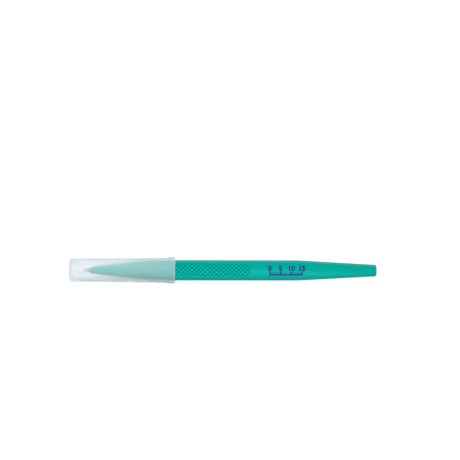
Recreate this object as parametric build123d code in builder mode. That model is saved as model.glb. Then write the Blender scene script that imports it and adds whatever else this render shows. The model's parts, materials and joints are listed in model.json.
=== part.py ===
from build123d import *
from math import atan2, ceil, degrees, hypot, radians, sin, tan
import os

# A capped dermal curette: a flat plastic handle with a crosshatched grip on both
# faces, a steel ring blade set in its tip, and a thin frosted cap pushed over them.
# Everything is drawn straight along X, with X = 0 at the handle's tip and the cap's
# closed end towards -X. At the end the set is laid down as it rests on a table.

# Handle sizes
handle_length = 134.2
handle_width = 9.45
handle_thickness = 6.2
tip_width = 3.0
tip_thickness = 3.0
rear_width = 5.4
rear_thickness = 3.0
rear_taper_length = 37.2
front_bulge = 0.3
shoulder_blend = 40.0
waist_blend = 80.0
bevel = 0.9
side_draft = 2.0
tip_rounding = 0.45
rear_rounding = 0.8

# Grip sizes
grip_centre = 55.6
grip_length = 37.9
grip_width = 5.9
diamond_length_pitch = 2.07
diamond_width_pitch = 1.98
groove_width = 0.62
groove_depth = 0.3

# Blade sizes
ring_diameter = 4.0
ring_wall = 0.35
ring_height = 1.0
ring_edge_land = 0.06
ring_edge_height = 0.6
neck_length = 2.45
neck_front_diameter = 0.85
neck_rear_diameter = 1.9
shank_diameter = 1.5
shank_depth = 14.0

# Cap sizes
cap_length = 49.1
cap_overlap = 4.5
cap_room_past_ring = 2.05
cap_end_diameter = 10.8
cap_end_dome = 0.6
cap_shoulder_diameter = 11.55
cap_end_wall = 1.1
cap_clearance = 0.04
bore_draft = 0.8
collar_length = 3.6
collar_front_diameter = 12.24
collar_mouth_diameter = 12.42
collar_ramp = 0.4
mouth_lead_in = 0.25
mouth_edge_break = 0.15
cap_end_rounding = 0.3
bore_end_bevel = 0.5

# Places along the handle that follow from the sizes. The cap's closed end clears the
# ring, and its mouth passes the end of the front taper, which fills the rest of the cap.
ring_centre = -neck_length - ring_diameter / 2
cap_end = ring_centre - ring_diameter / 2 - cap_room_past_ring - cap_end_wall
cap_mouth = cap_end + cap_length
front_taper_length = cap_mouth - cap_overlap
rear_taper_start = handle_length - rear_taper_length


# Outline of the handle, seen from above or from the side: a slightly bowed front
# taper, a straight body and a straight rear taper, with soft bends between them
def handle_outline(plane, tip_size, body_size, rear_size):
    with BuildSketch(plane) as outline:
        with BuildLine():
            front = SagittaArc((0, tip_size / 2), (front_taper_length, body_size / 2), front_bulge)
            body = Line(front @ 1, (rear_taper_start, body_size / 2))
            rear = Line(body @ 1, (handle_length, rear_size / 2))
            Line(rear @ 1, (handle_length, 0))
            Line((0, 0), front @ 0)
            mirror(about=Plane.XZ)
        make_face()
        fillet(outline.vertices().group_by(Axis.X)[1], radius=shoulder_blend)
        fillet(outline.vertices().group_by(Axis.X)[-2], radius=waist_blend)
    return outline.sketch


# Crosshatch grooves of the grip: parallel V grooves at one slant, kept inside the
# stadium outline of the grip, then the same grooves at the mirrored slant
diamond_slant = degrees(atan2(diamond_width_pitch, diamond_length_pitch))
groove_spacing = diamond_length_pitch * sin(radians(diamond_slant))
groove_pairs = ceil(grip_length / groove_spacing / 2)

with BuildPart() as slanted_grooves:
    with BuildSketch(Plane.XZ.offset(-grip_length / 2)):
        with GridLocations(groove_spacing, 1, 2 * groove_pairs, 1):
            Polygon((-groove_width, groove_depth), (0, -groove_depth), (groove_width, groove_depth), align=None)
    extrude(amount=grip_length)

with BuildPart() as grip_window:
    with BuildSketch(Plane.XY.offset(-2 * groove_depth)):
        SlotOverall(grip_length, grip_width)
    extrude(amount=4 * groove_depth)

with BuildPart() as grip_grooves:
    add(slanted_grooves.part, rotation=(0, 0, 90 - diamond_slant))
    add(grip_window.part, mode=Mode.INTERSECT)
    mirror(about=Plane.XZ)

# Side form: the outline of the handle seen from the side, which sets its thickness
side_outline = handle_outline(Plane.XZ.offset(-handle_width), tip_thickness, handle_thickness, rear_thickness)

with BuildPart() as side_form:
    extrude(side_outline, amount=2 * handle_width)

# Lower half of the handle, drafted away from the parting line at mid thickness
plan_outline = handle_outline(Plane.XY, tip_width, handle_width, rear_width)

with BuildPart() as handle:
    extrude(plan_outline, amount=-handle_thickness, taper=side_draft)
    add(side_form.part, mode=Mode.INTERSECT)
    rims = handle.edges().filter_by(lambda edge: abs(edge.tangent_at(0.5).X) > 0.9 and edge.center().Z < -bevel)
    chamfer(rims, length=bevel)
    tip_edges = handle.faces().sort_by(Axis.X)[0].edges().filter_by(lambda edge: edge.center().Z < 0)
    fillet(tip_edges, radius=tip_rounding)
    rear_edges = handle.faces().sort_by(Axis.X)[-1].edges().filter_by(lambda edge: edge.center().Z < 0)
    fillet(rear_edges, radius=rear_rounding)
    with Locations(Location((grip_centre, 0, -handle_thickness / 2), (180, 0, 0))):
        add(grip_grooves.part, mode=Mode.SUBTRACT)
    mirror(about=Plane.XY)
    with BuildSketch(Plane.YZ):
        Circle(shank_diameter / 2)
    extrude(amount=shank_depth, mode=Mode.SUBTRACT)

# Blade: a sharpened ring on a tapering neck, with a shank held in the handle's tip
with BuildPart() as blade:
    with BuildSketch(Plane.XZ):
        with BuildLine():
            Polyline((shank_depth, 0), (ring_centre, 0), (ring_centre, neck_front_diameter / 2))
            neck = Line((-neck_length, neck_front_diameter / 2), (0, neck_rear_diameter / 2))
            Line((ring_centre, neck_front_diameter / 2), neck @ 0)
            shoulder = Line(neck @ 1, (0, shank_diameter / 2))
            Polyline(shoulder @ 1, (shank_depth, shank_diameter / 2), (shank_depth, 0))
        make_face()
    revolve(axis=Axis.X)
    with Locations((ring_centre, 0, 0)):
        Cylinder(ring_diameter / 2, ring_height)
        Cylinder(ring_diameter / 2 - ring_wall, ring_height, mode=Mode.SUBTRACT)
    with Locations((ring_centre, 0, (ring_edge_height - ring_height) / 2)):
        edge_radius = ring_diameter / 2 - ring_edge_land
        Cone(edge_radius, ring_diameter / 2 - ring_wall, ring_edge_height, mode=Mode.SUBTRACT)

# Cap bore: it meets the corners of the handle's body where the front taper ends
corner_height = handle_thickness / 2 - bevel
corner_side = handle_width / 2 - corner_height * tan(radians(side_draft))
seat_radius = hypot(corner_side, corner_height) + cap_clearance
bore_slope = tan(radians(bore_draft))
bore_end = cap_end + cap_end_wall
bore_end_radius = seat_radius - (front_taper_length - bore_end) * bore_slope
bore_mouth_radius = seat_radius + cap_overlap * bore_slope
collar_front = cap_mouth - collar_length

# Cap: a drafted tube with a slightly domed closed end, and a thicker collar round its
# mouth. Inside, its end wall is flat.
with BuildPart() as cap:
    with BuildSketch(Plane.XZ) as cap_profile:
        with BuildLine():
            end_rim = (cap_end + cap_end_dome, cap_end_diameter / 2)
            outside = Line(end_rim, (collar_front - collar_ramp, cap_shoulder_diameter / 2))
            collar = Line((collar_front, collar_front_diameter / 2), (cap_mouth, collar_mouth_diameter / 2))
            bore = Line((cap_mouth, bore_mouth_radius), (bore_end, bore_end_radius))
            TangentArc((cap_end, 0), end_rim, tangent=(0, 1))
            Line(outside @ 1, collar @ 0)
            Line(collar @ 1, bore @ 0)
            Polyline(bore @ 1, (bore_end, 0), (cap_end, 0))
        make_face()
        rims = cap_profile.vertices().filter_by(lambda corner: corner.Y > bore_end_radius / 2).sort_by(Axis.X)
        fillet(rims[0], radius=cap_end_rounding)
        chamfer(rims[1], length=bore_end_bevel)
    revolve(axis=Axis.X)
    mouth_face = cap.faces().filter_by(GeomType.PLANE).sort_by(Axis.X)[-1]
    chamfer(mouth_face.edges().sort_by(SortBy.RADIUS)[0], length=mouth_lead_in)
    chamfer(mouth_face.edges().sort_by(SortBy.RADIUS)[-1], length=mouth_edge_break)

# Rest pose: the collar touches the table at the mouth, and the handle tips back until
# the first of its two lower corners, at the waist or at the rear end, touches too
collar_radius = collar_mouth_diameter / 2
waist_tilt = atan2(collar_radius - handle_thickness / 2, rear_taper_start - cap_mouth)
rear_tilt = atan2(collar_radius - rear_thickness / 2, handle_length - cap_mouth)
rest_tilt = degrees(min(waist_tilt, rear_tilt))
for piece in (handle, blade, cap):
    piece.part.move(Rot(0, rest_tilt, 0))
tipped_box = Compound([handle.part, blade.part, cap.part]).bounding_box()
for piece in (handle, blade, cap):
    piece.part.move(Pos(-tipped_box.center().X, 0, -tipped_box.min.Z))

handle.part.label = "handle"
blade.part.label = "blade"
cap.part.label = "cap"

os.makedirs("parts", exist_ok=True)
export_step(handle.part, "parts/handle.step")
export_step(blade.part, "parts/blade.step")
export_step(cap.part, "parts/cap.step")
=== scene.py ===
import bmesh
import bpy
import json
from math import atan2, pi, radians
from mathutils import Matrix, Vector


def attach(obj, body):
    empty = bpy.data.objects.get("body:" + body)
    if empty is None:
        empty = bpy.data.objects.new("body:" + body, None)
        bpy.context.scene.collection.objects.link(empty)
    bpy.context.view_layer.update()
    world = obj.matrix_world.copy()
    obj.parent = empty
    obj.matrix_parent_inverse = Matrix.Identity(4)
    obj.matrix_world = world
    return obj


# Looks of a capped dermal curette: teal moulded handle, frosted cap, ground steel ring.
# The camera stands almost straight above it, as in the photograph.

MM = 0.001

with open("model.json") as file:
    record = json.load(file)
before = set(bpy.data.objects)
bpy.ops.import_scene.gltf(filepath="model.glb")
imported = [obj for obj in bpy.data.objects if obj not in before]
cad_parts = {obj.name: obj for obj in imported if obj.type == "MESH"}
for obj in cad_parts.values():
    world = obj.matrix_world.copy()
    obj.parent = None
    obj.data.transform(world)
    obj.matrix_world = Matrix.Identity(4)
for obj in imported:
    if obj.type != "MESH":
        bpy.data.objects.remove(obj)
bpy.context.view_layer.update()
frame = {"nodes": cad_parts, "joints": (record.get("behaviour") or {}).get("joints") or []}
handle = frame["nodes"]["handle"]
blade = frame["nodes"]["blade"]
cap = frame["nodes"]["cap"]

# Places and sizes on the solids that the looks follow. The handle leans a little, because
# the capped end lies higher.
along = -Vector(frame["joints"][0]["axis"])
lean = atan2(-along.z, along.x)
handle_thickness = 6.2 * MM
grip_centre = Vector((-6.682, 0, 5.397)) * MM
grip_length = 37.9 * MM
grip_width = 5.9 * MM
groove_depth = 0.3 * MM
cap_mouth_centre = Vector((-22.762, 0, 6.197)) * MM
collar_length = 3.6 * MM
collar_ramp = 0.4 * MM

# Nodes: small functions that each add a node or two, and give back its result. Most of a
# noise pattern lies between the two values here.
noise_low = 0.3
noise_high = 0.7


def add_node(tree, kind, values=None, **settings):
    node = tree.nodes.new("ShaderNode" + kind)
    for name, value in settings.items():
        setattr(node, name, value)
    for name, value in (values or {}).items():
        node.inputs[name].default_value = value
    return node


def math_node(tree, operation, first, second=0.0):
    node = add_node(tree, "Math", operation=operation)
    for slot, value in enumerate((first, second)):
        if isinstance(value, (int, float)):
            node.inputs[slot].default_value = value
        else:
            tree.links.new(value, node.inputs[slot])
    return node.outputs[0]


def spread(tree, value, low, high, start=noise_low, end=noise_high):
    """The value with start taken to low and end to high, and nothing beyond those two"""
    node = add_node(tree, "MapRange", {"From Min": start, "From Max": end, "To Min": low, "To Max": high})
    tree.links.new(value, node.inputs["Value"])
    return node.outputs[0]


def separate(tree, vector):
    """The X, Y and Z of a vector"""
    node = add_node(tree, "SeparateXYZ")
    tree.links.new(vector, node.inputs[0])
    return node.outputs


def local_place(tree, place, centre):
    """The place as X, Y and Z from a centre, with X along the handle and Y across it"""
    local = add_node(tree, "Mapping", {"Location": centre, "Rotation": (0, lean, 0)}, vector_type="TEXTURE")
    tree.links.new(place, local.inputs["Vector"])
    return separate(tree, local.outputs[0])


def noise(tree, place, size, detail=2, stretch=1):
    """Noise whose patches are about size across, and stretch times as long along the handle"""
    mapping = add_node(tree, "Mapping", {"Scale": (1 / stretch, 1, 1)})
    tree.links.new(place, mapping.inputs["Vector"])
    texture = add_node(tree, "TexNoise", {"Scale": 1 / size, "Detail": detail})
    tree.links.new(mapping.outputs[0], texture.inputs["Vector"])
    return texture.outputs[0]


def mix_colours(tree, factor, first, second):
    """A mix of two colours, each plain or made by nodes"""
    node = add_node(tree, "Mix", data_type="RGBA")
    ends = [socket for socket in node.inputs if socket.type == "RGBA"]
    for socket, colour in zip(ends, (first, second)):
        if isinstance(colour, tuple):
            socket.default_value = colour
        else:
            tree.links.new(colour, socket)
    tree.links.new(factor, node.inputs["Factor"])
    return [socket for socket in node.outputs if socket.type == "RGBA"][0]


def bump(tree, height, depth, under=None):
    """The normal of a skin that rises by height times depth, on top of the normal under it"""
    node = add_node(tree, "Bump", {"Distance": depth})
    tree.links.new(height, node.inputs["Height"])
    if under is not None:
        tree.links.new(under, node.inputs["Normal"])
    return node.outputs[0]


def principled(name):
    material = bpy.data.materials.new(name)
    material.use_nodes = True
    return material, material.node_tree, material.node_tree.nodes["Principled BSDF"]


# Camera: framed for a picture 460 pixels square, at the photograph's scale of 0.47 mm for each pixel
view_target = Vector((2.77, 18.94, 5.0)) * MM
view_distance = 395 * MM
view_elevation = radians(85)
view_width = 216.2 * MM
view_nearest = 10 * MM
view_farthest = 50.0
sensor_width_mm = 36


def add_camera():
    data = bpy.data.cameras.new("camera")
    data.sensor_width = sensor_width_mm
    data.lens = sensor_width_mm * view_distance / view_width
    data.clip_start = view_nearest
    data.clip_end = view_farthest
    camera = bpy.data.objects.new("camera", data)
    camera.rotation_euler = (radians(90) - view_elevation, 0, 0)
    camera.location = view_target + camera.rotation_euler.to_matrix() @ Vector((0, 0, view_distance))
    bpy.context.scene.collection.objects.link(camera)
    bpy.context.scene.camera = camera


# Studio: a pale room that is brightest overhead and a little behind the white table, with
# softboxes behind it and at its left, and a small one close to the camera. A level of 1
# on a surface shows its colour as written.
room_low_level = 0.25
room_high_level = 0.9
room_bright_place = (-0.1, 0.1, 1)
back_level = 0.06
back_place = (0.1, 0.8, 1)
back_size = (0.6, 0.1)
left_level = 0.32
left_place = (-1, 0.8, 0.9)
left_size = (0.3, 0.3)
top_level = 0.06
top_place = (0.2, -0.03, 1)
top_size = (0.06, 0.34)
softbox_distance = 0.9
floor_size = 12.0
floor_tone = 0.5
floor_boost = 0.72


def add_softbox(name, direction, size, level):
    place = Vector(direction).normalized() * softbox_distance
    data = bpy.data.lights.new(name, "AREA")
    data.shape = "RECTANGLE"
    data.size = size[0]
    data.size_y = size[1]
    data.energy = level * pi ** 2 * softbox_distance ** 2
    lamp = bpy.data.objects.new(name, data)
    lamp.location = place
    lamp.rotation_euler = (-place).to_track_quat("-Z", "Y").to_euler()
    bpy.context.scene.collection.objects.link(lamp)


def add_world():
    world = bpy.data.worlds.new("studio")
    world.use_nodes = True
    tree = world.node_tree
    towards = add_node(tree, "VectorMath", operation="DOT_PRODUCT")
    tree.links.new(add_node(tree, "TexCoord").outputs["Generated"], towards.inputs[0])
    towards.inputs[1].default_value = Vector(room_bright_place).normalized()
    level = spread(tree, towards.outputs["Value"], room_low_level, room_high_level, 0, 1)
    tree.links.new(level, tree.nodes["Background"].inputs["Strength"])
    tree.nodes["Background"].inputs["Color"].default_value = (1, 1, 1, 1)
    bpy.context.scene.world = world


def add_floor():
    """A table whose tone takes the shadow, and whose glow makes it white where it is seen"""
    half = floor_size / 2
    corners = [(-half, -half, 0), (half, -half, 0), (half, half, 0), (-half, half, 0)]
    mesh = bpy.data.meshes.new("floor")
    mesh.from_pydata(corners, [], [(0, 1, 2, 3)])
    floor = bpy.data.objects.new("floor", mesh)
    bpy.context.scene.collection.objects.link(floor)
    material = bpy.data.materials.new("white_table")
    material.use_nodes = True
    tree = material.node_tree
    tree.nodes.clear()
    output = add_node(tree, "OutputMaterial")
    diffuse = add_node(tree, "BsdfDiffuse", {"Color": (floor_tone, floor_tone, floor_tone, 1)})
    rays = add_node(tree, "LightPath")
    seen = math_node(tree, "MAXIMUM", rays.outputs["Is Camera Ray"], rays.outputs["Is Glossy Ray"])
    seen = math_node(tree, "MAXIMUM", seen, rays.outputs["Is Transmission Ray"])
    glow = add_node(tree, "Emission")
    tree.links.new(math_node(tree, "MULTIPLY", seen, floor_boost), glow.inputs["Strength"])
    both = add_node(tree, "AddShader")
    tree.links.new(diffuse.outputs[0], both.inputs[0])
    tree.links.new(glow.outputs[0], both.inputs[1])
    tree.links.new(both.outputs[0], output.inputs["Surface"])
    mesh.materials.append(material)


# Handle: satin teal plastic, with a slight crown on its faces, duller sides, softened edges
# with a painted highlight along them, an orange-peel skin and faint flow marks along its
# length. The grip's diamonds carry a painted highlight and its grooves painted shade.
handle_light_teal = (0.0, 0.41, 0.345, 1)
handle_deep_teal = (0.0, 0.385, 0.32, 1)
handle_shine_tint = (0.05, 1.0, 0.94, 1)
# Painted highlight on the grip's diamond tops, and painted shade in its grooves
diamond_highlight_teal = (0.0, 0.53, 0.44, 1)
groove_shade_teal = (0.0, 0.26, 0.22, 1)
grip_outline_fade = 0.05 * MM
handle_low_roughness = 0.16
handle_high_roughness = 0.24
handle_crown_radius = 38 * MM
peel_size = 0.7 * MM
peel_depth = 0.02 * MM
skin_size = 0.16 * MM
skin_depth = 0.003 * MM
flow_mark_size = 1.6 * MM
flow_mark_stretch = 12

# An edge gets a painted highlight, a paler teal, as its softened normal leaves its own: from
# the first cosine of the angle between them, and fully at the second
edge_highlight_teal = (0.0, 0.72, 0.62, 1)
edge_highlight_from = 0.99
edge_highlight_full = 0.94
edge_radius = 0.25 * MM
edge_samples = 8

# A side is duller the less its normal points up: from the first share of up, and fully at
# the second
side_roughness = 0.4
side_dull_from = 0.5
side_dull_full = 0.2


def grip_masks(tree, place):
    """How far inside the grip's outline a point is, and how deep in its grooves, which sets their painted
    shade, both from 0 to 1
    """
    local = local_place(tree, place, grip_centre)
    past_end = math_node(tree, "ABSOLUTE", local["X"])
    past_end = math_node(tree, "SUBTRACT", past_end, (grip_length - grip_width) / 2)
    past_end = math_node(tree, "MAXIMUM", past_end, 0)
    end_square = math_node(tree, "MULTIPLY", past_end, past_end)
    side_square = math_node(tree, "MULTIPLY", local["Y"], local["Y"])
    reach = math_node(tree, "SQRT", math_node(tree, "ADD", end_square, side_square))
    inside = spread(tree, reach, 1, 0, grip_width / 2 - grip_outline_fade, grip_width / 2)
    height = math_node(tree, "ABSOLUTE", local["Z"])
    depth = spread(tree, height, 0, 1, handle_thickness / 2, handle_thickness / 2 - groove_depth)
    return inside, depth


def handle_plastic():
    material, tree, shader = principled("handle_plastic")
    place = add_node(tree, "TexCoord").outputs["Object"]
    true_normal = add_node(tree, "NewGeometry").outputs["Normal"]
    shader.inputs["Specular Tint"].default_value = handle_shine_tint

    flow = noise(tree, place, flow_mark_size, detail=4, stretch=flow_mark_stretch)
    colour = mix_colours(tree, spread(tree, flow, 0, 1), handle_deep_teal, handle_light_teal)
    edges = add_node(tree, "Bevel", {"Radius": edge_radius}, samples=edge_samples)
    turn = add_node(tree, "VectorMath", operation="DOT_PRODUCT")
    tree.links.new(edges.outputs[0], turn.inputs[0])
    tree.links.new(true_normal, turn.inputs[1])
    # Painted highlight: edges are painted paler teal where the softened normal turns away
    pale = spread(tree, turn.outputs["Value"], 0, 1, edge_highlight_from, edge_highlight_full)
    colour = mix_colours(tree, pale, colour, edge_highlight_teal)
    inside, depth = grip_masks(tree, place)
    # The grip's colour: a painted highlight on the diamonds, and painted shade deeper in the grooves
    grip = mix_colours(tree, depth, diamond_highlight_teal, groove_shade_teal)
    tree.links.new(mix_colours(tree, inside, colour, grip), shader.inputs["Base Color"])

    peel = noise(tree, place, peel_size)
    rough = spread(tree, peel, handle_low_roughness, handle_high_roughness)
    upward = math_node(tree, "ABSOLUTE", separate(tree, true_normal)["Z"])
    dullness = spread(tree, upward, side_roughness, 0, side_dull_full, side_dull_from)
    tree.links.new(math_node(tree, "ADD", rough, dullness), shader.inputs["Roughness"])

    across = separate(tree, place)["Y"]
    across_square = math_node(tree, "MULTIPLY", across, across)
    crown = math_node(tree, "MULTIPLY", across_square, -0.5 / handle_crown_radius)
    normal = bump(tree, crown, 1, under=edges.outputs[0])
    normal = bump(tree, peel, peel_depth, under=normal)
    normal = bump(tree, noise(tree, place, skin_size), skin_depth, under=normal)
    tree.links.new(normal, shader.inputs["Normal"])
    return material


# Blade: steel ground along its length, so its fine lines follow the shank and neck
steel_bright = (0.36, 0.37, 0.39, 1)
steel_dull = (0.26, 0.27, 0.3, 1)
steel_low_roughness = 0.22
steel_high_roughness = 0.36
grind_line = 0.05 * MM
grind_stretch = 20
grind_depth = 0.004 * MM


def blade_steel():
    material, tree, shader = principled("blade_steel")
    place = add_node(tree, "TexCoord").outputs["Object"]
    shader.inputs["Metallic"].default_value = 1
    lines = noise(tree, place, grind_line, detail=4, stretch=grind_stretch)
    colour = mix_colours(tree, spread(tree, lines, 0, 1), steel_dull, steel_bright)
    tree.links.new(colour, shader.inputs["Base Color"])
    rough = spread(tree, lines, steel_low_roughness, steel_high_roughness)
    tree.links.new(rough, shader.inputs["Roughness"])
    tree.links.new(bump(tree, lines, grind_depth), shader.inputs["Normal"])
    return material


# Cap: frosted clear plastic with a faint bluish veil and shine. Lamps reach what is inside
# it, as they do through the real thin wall, by letting shadow rays pass.
cap_tint = (0.955, 0.928, 0.925, 1)
cap_low_roughness = 0.28
cap_high_roughness = 0.3
cap_clearness = 0.86
cap_shine = 0.15
cap_shine_tint = (0.5, 0.95, 1.0, 1)
cap_ior = 1.45
cap_veil = 0.32
cap_veil_roughness = 0.7
cap_veil_tint = (0.42, 0.78, 1.0, 1)
cap_shadow_tint = (0.88, 0.99, 1.0, 1)
# Painted shade on the ramp in front of the collar
ramp_shade_tint = (0.84, 0.88, 0.91, 1)
collar_shadow_tint = (0.82, 0.96, 0.99, 1)
cap_wall_colour = (0.55, 0.72, 0.78, 1)
cap_wall_density = 15
frost_size = 0.14 * MM
frost_depth = 0.002 * MM
frost_patch_size = 0.9 * MM


def collar_masks(tree, place):
    """Where the cap is at its collar, and where its ramp in front of it takes painted shade, both from 0 to
    1
    """
    local = local_place(tree, place, cap_mouth_centre)
    on_collar = spread(tree, local["X"], 0, 1, -collar_length - collar_ramp, -collar_length)
    from_ramp = math_node(tree, "ADD", local["X"], collar_length + collar_ramp / 2)
    from_ramp = math_node(tree, "ABSOLUTE", from_ramp)
    ramp_shade_mask = spread(tree, from_ramp, 1, 0, collar_ramp / 2, collar_ramp)
    return on_collar, ramp_shade_mask


def cap_plastic():
    material, tree, shader = principled("cap_plastic")
    place = add_node(tree, "TexCoord").outputs["Object"]
    on_collar, ramp_shade_mask = collar_masks(tree, place)
    # The ramp in front of the collar is painted darker, as shade in the step
    tree.links.new(mix_colours(tree, ramp_shade_mask, cap_tint, ramp_shade_tint), shader.inputs["Base Color"])
    shader.inputs["Transmission Weight"].default_value = cap_clearness
    shader.inputs["Specular IOR Level"].default_value = cap_shine
    shader.inputs["Specular Tint"].default_value = cap_shine_tint
    shader.inputs["IOR"].default_value = cap_ior
    shader.inputs["Sheen Weight"].default_value = cap_veil
    shader.inputs["Sheen Roughness"].default_value = cap_veil_roughness
    shader.inputs["Sheen Tint"].default_value = cap_veil_tint
    patches = noise(tree, place, frost_patch_size, detail=4)
    rough = spread(tree, patches, cap_low_roughness, cap_high_roughness)
    tree.links.new(rough, shader.inputs["Roughness"])
    tree.links.new(bump(tree, noise(tree, place, frost_size), frost_depth), shader.inputs["Normal"])

    rays = add_node(tree, "LightPath")
    passing = add_node(tree, "BsdfTransparent")
    shadow_tint = mix_colours(tree, on_collar, cap_shadow_tint, collar_shadow_tint)
    tree.links.new(shadow_tint, passing.inputs["Color"])
    choice = add_node(tree, "MixShader")
    tree.links.new(rays.outputs["Is Shadow Ray"], choice.inputs[0])
    tree.links.new(shader.outputs[0], choice.inputs[1])
    tree.links.new(passing.outputs[0], choice.inputs[2])
    output = tree.nodes["Material Output"]
    tree.links.new(choice.outputs[0], output.inputs["Surface"])
    wall = add_node(tree, "VolumeAbsorption", {"Color": cap_wall_colour, "Density": cap_wall_density})
    tree.links.new(wall.outputs[0], output.inputs["Volume"])
    return material


# Printed scale: 15 mm in blue ink on the handle's upper face, ruled in millimetres, with
# taller strokes and a number at every fifth one. A stroke has a width and a height, and
# places are measured from the grip's centre, along the handle and across it.
ink_deep_blue = (0.003, 0.006, 0.24, 1)
ink_light_blue = (0.012, 0.016, 0.32, 1)
ink_shine = 0.2
ink_low_roughness = 0.3
ink_high_roughness = 0.42
ink_patch_size = 0.35 * MM
ink_height = 0.02 * MM
ink_sink = ink_height / 4
scale_start = 27.9 * MM
scale_span_mm = 15
scale_base = -2.2 * MM
short_stroke = (0.38 * MM, 1.2 * MM)
tall_stroke = (0.65 * MM, 1.6 * MM)
base_stroke_width = 0.6 * MM
number_every_mm = 5
number_size = 3.4 * MM
number_weight = 0.15 * MM
number_base = -0.3 * MM
number_curve_steps = 3

# The corners of each side of a box, where X changes first, then Y, then Z
box_sides = ((0, 2, 3, 1), (4, 5, 7, 6), (0, 1, 5, 4), (2, 6, 7, 3), (0, 4, 6, 2), (1, 3, 7, 5))


def ink():
    material, tree, shader = principled("blue_ink")
    place = add_node(tree, "TexCoord").outputs["Object"]
    shader.inputs["Specular IOR Level"].default_value = ink_shine
    patches = noise(tree, place, ink_patch_size, detail=3)
    colour = mix_colours(tree, spread(tree, patches, 0, 1), ink_deep_blue, ink_light_blue)
    tree.links.new(colour, shader.inputs["Base Color"])
    rough = spread(tree, patches, ink_low_roughness, ink_high_roughness)
    tree.links.new(rough, shader.inputs["Roughness"])
    tree.links.new(bump(tree, patches, skin_depth), shader.inputs["Normal"])
    return material


def add_stroke(form, x, width, low, high):
    """A thin slab of ink on the face: x along the handle, low and high across it"""
    ends = (x - width / 2, x + width / 2)
    corners = [(end, y, z) for z in (0, ink_height) for y in (low, high) for end in ends]
    points = [form.verts.new(corner) for corner in corners]
    for side in box_sides:
        form.faces.new([points[i] for i in side])


def add_number(form, text, x):
    """A number centred over its stroke, from the font that is built in"""
    curve = bpy.data.curves.new("number", "FONT")
    curve.body = text
    curve.size = number_size
    curve.align_x = "CENTER"
    curve.extrude = ink_height / 2
    curve.offset = number_weight
    curve.resolution_u = number_curve_steps
    piece = bpy.data.objects.new("number", curve)
    mesh = bpy.data.meshes.new_from_object(piece)
    mesh.transform(Matrix.Translation((x, number_base, ink_height / 2)))
    form.from_mesh(mesh)
    bpy.data.objects.remove(piece)


def add_scale():
    form = bmesh.new()
    length = scale_span_mm * MM
    middle = scale_start + length / 2
    half_base = base_stroke_width / 2
    add_stroke(form, middle, length + tall_stroke[0], scale_base - half_base, scale_base + half_base)
    for step in range(scale_span_mm + 1):
        x = scale_start + step * MM
        has_number = step % number_every_mm == 0
        width, height = tall_stroke if has_number else short_stroke
        add_stroke(form, x, width, scale_base + half_base, scale_base + height)
        if has_number:
            add_number(form, str(step), x)
    mesh = bpy.data.meshes.new("printed_scale")
    form.to_mesh(mesh)
    form.free()
    on_face = Matrix.Translation((0, 0, handle_thickness / 2 - ink_sink))
    mesh.transform(Matrix.Translation(grip_centre) @ Matrix.Rotation(lean, 4, "Y") @ on_face)
    piece = bpy.data.objects.new("printed_scale", mesh)
    bpy.context.scene.collection.objects.link(piece)
    mesh.materials.append(ink())
    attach(piece, "handle")


def dress(piece, material):
    piece.data.materials.clear()
    piece.data.materials.append(material)


bpy.context.scene.view_settings.view_transform = "Standard"
add_camera()
add_world()
add_softbox("back_light", back_place, back_size, back_level)
add_softbox("left_light", left_place, left_size, left_level)
add_softbox("top_light", top_place, top_size, top_level)
add_floor()
dress(handle, handle_plastic())
dress(blade, blade_steel())
dress(cap, cap_plastic())
add_scale()
